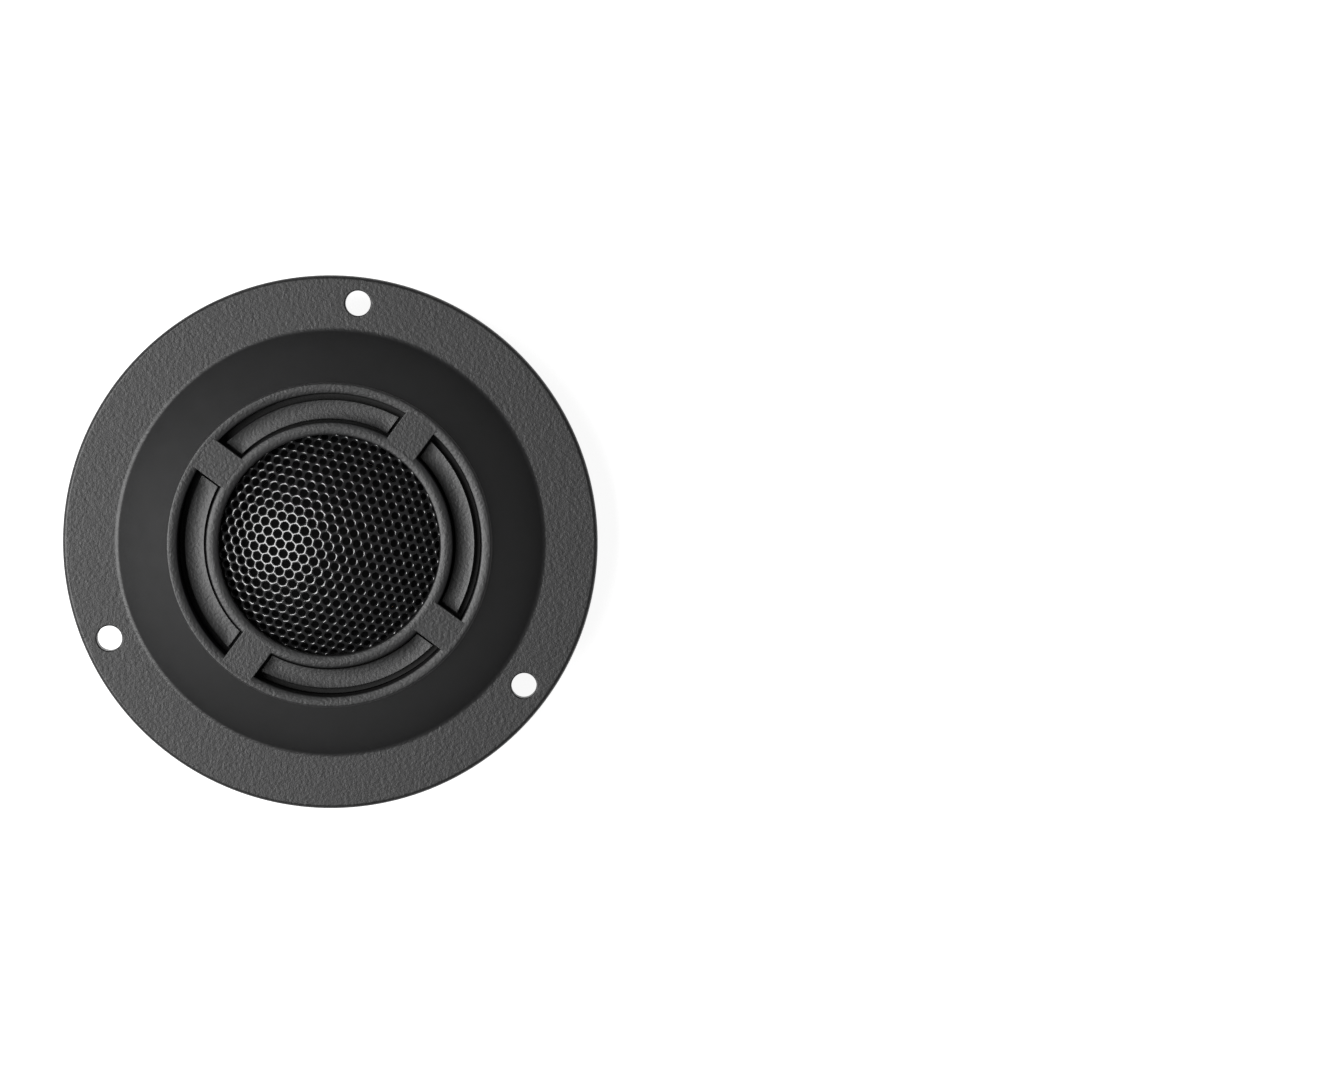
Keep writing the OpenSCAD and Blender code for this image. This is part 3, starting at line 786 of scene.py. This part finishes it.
coil_low, coil_high = span("voice_coil")
COIL_TURNS, COIL_WALL = 8, 0.24
wire_d = (coil_high.z - coil_low.z) / COIL_TURNS
coil_in_r = coil_high.x - COIL_WALL
coil_section = [(coil_in_r, coil_high.z), (coil_in_r, coil_low.z)]
for turn_index in range(COIL_TURNS):
    middle = coil_low.z + (turn_index + 0.5) * wire_d
    coil_section += arc(coil_high.x - wire_d / 2, middle, wire_d / 2 - 0.002, -90, 90, 4)
piece("voice_coil", turned(coil_section, 96), copper, body="diaphragm")

# %% [markdown]
# ## Foam gasket and felt disc
#
# Both are soft: a foam ring seals the diaphragm frame against the clamp ring, and a felt
# disc on the pole damps the air under the dome. Soft pieces have no sharp edge, so each
# section is rounded to half its thickness and lightly crowned.

# %% Soft parts
foam_low, foam_high = span("front_gasket")
foam_r = (foam_high.z - foam_low.z) / 2
foam_mid = (foam_high.z + foam_low.z) / 2
FOAM_IN_R = 15.6
foam_section = [*arc(foam_high.x - foam_r, foam_mid, foam_r, -90, 90, 6),
                *arc(FOAM_IN_R + foam_r, foam_mid, foam_r, 90, 270, 6)]
gasket = piece("front_gasket", turned(foam_section, 128), foam)

felt_low, felt_high = span("pole_felt")
FELT_ROUND = 0.35
felt_section = [(0, felt_low.z), (felt_high.x - 0.1, felt_low.z),
                (felt_high.x, felt_low.z + 0.15),
                *arc(felt_high.x - FELT_ROUND, felt_high.z - 0.08 - FELT_ROUND, FELT_ROUND,
                     0, 90, 5),
                (felt_high.x * 0.5, felt_high.z - 0.02), (0, felt_high.z)]
pad_of_felt = piece("pole_felt", turned(felt_section, 96), felt)

# %% [markdown]
# ## The steel cup
#
# The cup is turned from bar and zinc plated. Its back is the brightest face behind the
# tweeter, so its edge is rounded, and it keeps the small centre mark of the lathe.

# %% Yoke cup
cup_low, cup_high = span("yoke_cup")
CUP_BORE_R, CUP_EDGE, MARK_R, MARK_DEPTH = 13.15, 0.6, 1.6, 0.4
magnet_low, _ = span("magnet")
cup_section = [(0, cup_low.z + MARK_DEPTH), (MARK_R - 0.35, cup_low.z + MARK_DEPTH),
               *arc(MARK_R + 0.1, cup_low.z + 0.25, 0.25, 180, 270, 4),
               *arc(cup_high.x - CUP_EDGE, cup_low.z + CUP_EDGE, CUP_EDGE, -90, 0, 6),
               *arc(cup_high.x - 0.2, cup_high.z - 0.2, 0.2, 0, 90, 3),
               (CUP_BORE_R + 0.15, cup_high.z), (CUP_BORE_R, cup_high.z - 0.15),
               (CUP_BORE_R, magnet_low.z), (0, magnet_low.z)]
piece("yoke_cup", turned(cup_section, 128), zinc)

# %% [markdown]
# ## The chassis
#
# The rear moulding is a plain drum with a collar, three screw lugs, and a floor with a
# sleeve that grips the steel cup. The whole wall is one section, and the notches that the
# tabs pass through are cut from it.

# %% Chassis
WALL_IN_R, WALL_OUT_R, COLLAR_R = 20.4, 22.0, 23.0
COLLAR_LOW, COLLAR_HIGH = 0.2, 1.8
FLOOR_LOW, FLOOR_HIGH = -5.4, -4.0
SLEEVE_OUT_R, SLEEVE_TOP = 17.2, 0.7
LIP_R, SLEEVE_IN_R = 14.4, 15.65
REAR_ROUND = 0.4
LUG_R = 2.4
chassis_low, _ = span("chassis")
chassis_section = [
    *arc(WALL_OUT_R - REAR_ROUND, chassis_low.z + REAR_ROUND, REAR_ROUND, -90, 0, 4),
    (WALL_OUT_R, COLLAR_LOW), *arc(COLLAR_R - 0.2, COLLAR_LOW + 0.2, 0.2, -90, 0, 3),
    (COLLAR_R, COLLAR_HIGH), (WALL_IN_R, COLLAR_HIGH), (WALL_IN_R, FLOOR_HIGH),
    (SLEEVE_OUT_R, FLOOR_HIGH), (SLEEVE_OUT_R, SLEEVE_TOP), (SLEEVE_IN_R, SLEEVE_TOP),
    (SLEEVE_IN_R, cup_low.z), (LIP_R, cup_low.z),
    *arc(LIP_R + 0.2, FLOOR_LOW + 0.2, 0.2, 180, 270, 3), (WALL_IN_R - 0.3, FLOOR_LOW),
    (WALL_IN_R, FLOOR_LOW - 0.3),
    *arc(WALL_IN_R + REAR_ROUND, chassis_low.z + REAR_ROUND, REAR_ROUND, 180, 270, 4)]

board_low, board_high = span("terminal_board")
TAB_X, RIVET_Y = 4.0, 18.4
RIVET_R = 0.75
LEAD_R, LEAD_HOLE_R = 18.6, 0.6
LEAD_ANGLES = (91.5, 112.8)
NOTCH_SIDE, NOTCH_TOP = 0.75, FLOOR_LOW - 0.5
tab_widths = {name: span(name)[1].x - span(name)[0].x
              for name in ("terminal_positive", "terminal_negative")}
tab_places = {"terminal_positive": TAB_X, "terminal_negative": -TAB_X}


def lug():
    foot = block((WALL_IN_R + 0.4, -LUG_R, COLLAR_LOW), (BOSS_CIRCLE_R, LUG_R, COLLAR_HIGH))
    return carved(foot, add=[peg(BOSS_CIRCLE_R, LUG_R, COLLAR_LOW, COLLAR_HIGH)])


def notch(name):
    half = tab_widths[name] / 2 + NOTCH_SIDE
    x = tab_places[name]
    return block((x - half, WALL_IN_R - 1, chassis_low.z - 1), (x + half, WALL_OUT_R + 3,
                                                                NOTCH_TOP))


def small_holes(bottom, top):
    """Cutters for the two lead holes and the two rivet holes."""
    leads = [moved(peg(LEAD_R, LEAD_HOLE_R, bottom, top),
                   Matrix.Rotation(math.radians(a), 4, "Z")) for a in LEAD_ANGLES]
    rivets = [moved(peg(0, RIVET_R, bottom, top), Matrix.Translation((x, RIVET_Y, 0)))
              for x in (-TAB_X, TAB_X)]
    return merged(leads + rivets)


chassis_bm = carved(
    turned(chassis_section), add=[around(lug, SCREWS, FIRST_BOSS)],
    cut=[merged([notch(name) for name in tab_places]),
         small_holes(FLOOR_LOW - 1, FLOOR_HIGH + 1),
         around(lambda: peg(BOSS_CIRCLE_R, 1.25, COLLAR_LOW - 1, COLLAR_HIGH + 1),
                SCREWS, FIRST_BOSS)])
piece("chassis", chassis_bm, smooth_abs)

# %% [markdown]
# ## Screws
#
# Three pan-head screws hold the chassis to the bosses under the cone. The head's dome and
# its cross are what shows, so the cross is cut as two tapering slots, and the thread is a
# row of ridges.

# %% Chassis screws
HEAD_R, HEAD_T, SHANK_R, SHANK_LEN = 1.95, 1.3, 1.1, 4.5
THREADS = 7


def screw():
    base = COLLAR_LOW
    section = [(0, base - HEAD_T), (0.9, base - HEAD_T + 0.03),
               *arc(HEAD_R - 0.75, base - HEAD_T + 0.8, 0.75, -80, 0, 6),
               (HEAD_R, base - 0.1), (HEAD_R - 0.1, base), (SHANK_R - 0.2, base)]
    pitch = (SHANK_LEN - 0.8) / THREADS
    for i in range(THREADS):
        foot = base + 0.1 + i * pitch
        section += [(SHANK_R - 0.2, foot), (SHANK_R, foot + pitch * 0.45)]
    section += [(SHANK_R - 0.2, base + SHANK_LEN - 0.6), (0.25, base + SHANK_LEN),
                (0, base + SHANK_LEN)]
    slots = [moved(block((-1.1, -0.27, base - HEAD_T - 1), (1.1, 0.27, base - HEAD_T + 0.6)),
                   Matrix.Rotation(math.radians(a), 4, "Z")) for a in (45, 135)]
    cut = carved(turned(section, 40), cut=slots)
    return moved(cut, Matrix.Translation((BOSS_CIRCLE_R, 0, 0)))


piece("chassis_screws", around(screw, SCREWS, FIRST_BOSS), screw_steel)

# %% [markdown]
# ## Terminals
#
# A brown phenolic board carries two tinned blades, held by tubular rivets. The wide blade
# is the positive one. Each blade is an outline that is extruded, bevelled and drilled.

# %% Terminal board and blades
BOARD_R, BOARD_EDGE = 20.2, 0.15
FAR = 30  # beyond the whole board
board_section = [(0, board_low.z), (BOARD_R - BOARD_EDGE, board_low.z),
                 (BOARD_R, board_low.z + BOARD_EDGE), (BOARD_R, board_high.z),
                 (0, board_high.z)]
board_cuts = [block((left, -FAR, board_low.z - 1), (right, back_y, board_high.z + 1))
              for left, right, back_y in ((board_high.x, FAR, FAR), (-FAR, board_low.x, FAR),
                                          (-9, 9, board_low.y))]
board_bm = carved(turned(board_section, 128),
                  cut=[*board_cuts, small_holes(board_low.z - 1, board_high.z + 1)])
piece("terminal_board", board_bm, paper_board)

TIP_CHAMFER, BLADE_BEVEL = 0.9, 0.14
LATCH_INSET, LATCH_SHARE = 3.2, 0.85 / 4.8


def blade(name):
    low, high = span(name)
    bm = bmesh.new()
    outline = [(low.x, low.y), (high.x, low.y), (high.x, high.y - TIP_CHAMFER),
               (high.x - TIP_CHAMFER, high.y), (low.x + TIP_CHAMFER, high.y),
               (low.x, high.y - TIP_CHAMFER)]
    face = bm.faces.new([bm.verts.new((x, y, low.z)) for x, y in outline])
    raised = bmesh.ops.extrude_face_region(bm, geom=[face])["geom"]
    bmesh.ops.translate(bm, vec=(0, 0, high.z - low.z),
                        verts=[g for g in raised if isinstance(g, bmesh.types.BMVert)])
    bmesh.ops.recalc_face_normals(bm, faces=bm.faces)
    bmesh.ops.bevel(bm, geom=bm.edges, offset=BLADE_BEVEL, affect="EDGES", segments=2,
                    profile=0.5, material=-1)
    middle = (low.x + high.x) / 2
    latch_r = LATCH_SHARE * (high.x - low.x)
    holes = [moved(peg(0, r, low.z - 1, high.z + 1), Matrix.Translation((middle, y, 0)))
             for r, y in ((RIVET_R, RIVET_Y), (latch_r, high.y - LATCH_INSET))]
    return carved(bm, cut=[merged(holes)])


for name in tab_places:
    piece(name, blade(name), tinned)

# %% Rivets and solder
rivet_low, rivet_high = span("terminal_rivets")
blade_low = span("terminal_positive")[0].z
RIVET_HEAD_R = 1.25
rivet_section = [(0, rivet_low.z + 0.35), (0.38, rivet_low.z + 0.3),
                 *arc(0.62, rivet_low.z + 0.14, 0.14, 180, 270, 3),
                 *arc(RIVET_HEAD_R - 0.35, rivet_low.z + 0.35, 0.35, -90, 0, 4),
                 (RIVET_HEAD_R, blade_low), (RIVET_R, blade_low),
                 (RIVET_R, FLOOR_HIGH), (RIVET_HEAD_R, FLOOR_HIGH),
                 *arc(RIVET_HEAD_R - 0.35, rivet_high.z - 0.35, 0.35, 0, 90, 4),
                 (0, rivet_high.z)]
rivets = [moved(turned(rivet_section, 32), Matrix.Translation((x, RIVET_Y, 0)))
          for x in (-TAB_X, TAB_X)]
piece("terminal_rivets", merged(rivets), brass)

SOLDER_RISE, SOLDER_R = 0.75, 1.17


def solder_joint(x, y, surface):
    """A blob whose skirt curves out to the surface, as wetted solder does."""
    section = [(0, surface - SOLDER_RISE), (0.25, surface - SOLDER_RISE + 0.01),
               (0.45, surface - 0.66), (0.62, surface - 0.5), (0.78, surface - 0.31),
               (0.95, surface - 0.14), (SOLDER_R, surface - 0.03), (SOLDER_R, surface),
               (0, surface)]
    return moved(turned(section, 32), Matrix.Translation((x, y, 0)))


eyelet = math.radians(LEAD_ANGLES[0])
joint_y = span("terminal_positive")[0].y + 1.2
piece("solder_joints", merged([
    solder_joint(TAB_X + 0.6, joint_y, blade_low), solder_joint(-TAB_X, joint_y, blade_low),
    solder_joint(LEAD_R * math.cos(eyelet), LEAD_R * math.sin(eyelet), board_low.z)]),
    solder)

# %% [markdown]
# ## The capacitor
#
# A small non-polar capacitor keeps low notes out of the coil. Its can is rolled over a
# rubber bung at both ends, which leaves a groove, and a shrunk sleeve covers it all.

# %% Capacitor can
can_low, can_high = span("capacitor_can")
can_r = (can_high.y - can_low.y) / 2
can_half = (can_high.x - can_low.x) / 2
BUNG_R, BUNG_T, GROOVE_INSET, CAN_ROUND = 1.9, 0.5, 1.6, 0.35


def groove(z):
    return arc(can_r + 0.15, z, 0.3, 240, 120, 6)


can_section = [(0, BUNG_T - can_half), (BUNG_R, BUNG_T - can_half), (BUNG_R, 0.12 - can_half),
               (BUNG_R + 0.1, -can_half),
               *arc(can_r - CAN_ROUND, CAN_ROUND - can_half, CAN_ROUND, -90, 0, 4),
               *groove(GROOVE_INSET - can_half), *groove(can_half - GROOVE_INSET),
               *arc(can_r - CAN_ROUND, can_half - CAN_ROUND, CAN_ROUND, 0, 90, 4),
               (BUNG_R + 0.1, can_half), (BUNG_R, can_half - 0.12),
               (BUNG_R, can_half - BUNG_T), (0, can_half - BUNG_T)]
can_place = (Matrix.Translation(((can_low.x + can_high.x) / 2, (can_low.y + can_high.y) / 2,
                                 (can_low.z + can_high.z) / 2))
             @ Matrix.Rotation(math.pi / 2, 4, "Y"))
piece("capacitor_can", moved(turned(can_section, 64), can_place), sleeve)

# %% [markdown]
# ## Camera, light and floor
#
# The tweeter lies on its back and is seen almost square on, from a little above its centre
# and to the right. One broad softbox on the left makes the sheen on the flange, the bright
# line along each bead and the patch on the dome, and the pale room fills the rest.

# %% Camera
ROLL_ANGLE = math.radians(6.7)
CAMERA_HEIGHT = 0.700
LEAN_UP, LEAN_RIGHT = 0.059, 0.033
AIM_RIGHT, AIM_UP = 0.0480, 0.0003
VIEW_WIDTH = 0.19043
image_right = Vector((math.cos(ROLL_ANGLE), math.sin(ROLL_ANGLE), 0))
image_up = Vector((-math.sin(ROLL_ANGLE), math.cos(ROLL_ANGLE), 0))
flange_face = Vector((0, 0, FLANGE_T * MM))
eye = (flange_face + CAMERA_HEIGHT * (image_right * LEAN_RIGHT + image_up * LEAN_UP)
       + Vector((0, 0, CAMERA_HEIGHT)))
aim = flange_face + image_right * AIM_RIGHT + image_up * AIM_UP
camera_data = bpy.data.cameras.new("camera")
camera = bpy.data.objects.new("camera", camera_data)
bpy.context.scene.collection.objects.link(camera)
bpy.context.scene.camera = camera
back = (eye - aim).normalized()
side = image_up.cross(back).normalized()
top = back.cross(side)
camera.matrix_world = Matrix.Translation(eye) @ Matrix((side, top, back)).transposed().to_4x4()
camera_data.lens = camera_data.sensor_width * (eye - aim).length / VIEW_WIDTH
camera_data.clip_start, camera_data.clip_end = 0.01, 20
print("lens", round(camera_data.lens, 1), "mm")


# %% Lights
def softbox(name, lean_right, lean_up, distance, size, power, colour=(1, 1, 1)):
    """An area light that faces the tweeter, leaning from straight above, in degrees."""
    light = bpy.data.lights.new(name, "AREA")
    light.shape, light.size, light.energy, light.color = "SQUARE", size, power, colour
    made = bpy.data.objects.new(name, light)
    bpy.context.scene.collection.objects.link(made)
    way = (image_right * math.tan(math.radians(lean_right))
           + image_up * math.tan(math.radians(lean_up)) + Vector((0, 0, 1))).normalized()
    facing = way if distance > 0 else -way
    made.matrix_world = (Matrix.Translation(flange_face + way * distance)
                         @ facing.to_track_quat("Z", "Y").to_matrix().to_4x4())
    return made


softbox("key", -31, -2, 2.0, 1.36, 62)
softbox("under", 20, 10, -0.60, 0.60, 3.0)

# %% [markdown]
# ## The room and the floor
#
# The room lights the tweeter only faintly, or its black plastic would turn grey, yet it
# should be seen as pale. A Light Path node tells the two apart. The floor glows a little,
# so that the screw holes look through to white, and it vanishes when seen from below.

# %% Room
ROOM_LIGHT, SEEN_BACKDROP = 0.125, 0.9
world = bpy.data.worlds.new("studio")
world.use_nodes = True
backdrop = world.node_tree.nodes["Background"]
seen = world.node_tree.nodes.new("ShaderNodeLightPath")
brightness = world.node_tree.nodes.new("ShaderNodeMapRange")
brightness.inputs["To Min"].default_value = ROOM_LIGHT
brightness.inputs["To Max"].default_value = SEEN_BACKDROP
world.node_tree.links.new(seen.outputs["Is Camera Ray"], brightness.inputs["Value"])
world.node_tree.links.new(brightness.outputs["Result"], backdrop.inputs["Strength"])
backdrop.inputs["Color"].default_value = (1, 1, 1, 1)
bpy.context.scene.world = world
bpy.context.scene.view_settings.view_transform = "Standard"

# %% Floor
floor_bm = bmesh.new()
bmesh.ops.create_circle(floor_bm, cap_ends=True, segments=96, radius=3.0)
bmesh.ops.translate(floor_bm, vec=(0, 0, FLOOR_Z - 0.00002), verts=floor_bm.verts)
floor = as_object(floor_bm, "floor")
paper = Finish("pale_floor", 0.9, Emission_Strength=0.9)
paper.set("Emission Color", (1, 1, 1))
paper.set("Base Color", paper.mix(paper.noise(paper.place(), 0.02, 3.0), (0.5, 0.5, 0.5),
                                  (0.53, 0.53, 0.53)))
clear = paper.add("ShaderNodeBsdfTransparent")["BSDF"]
below = paper.add("ShaderNodeNewGeometry")["Backfacing"]
both = paper.add("ShaderNodeMixShader", None,
                 {0: below, 1: Signal(paper, paper.shader.outputs["BSDF"]), 2: clear})
paper.tree.links.new(both["Shader"].socket, paper.tree.nodes["Material Output"].inputs[0])
floor.data.materials.append(paper.material)
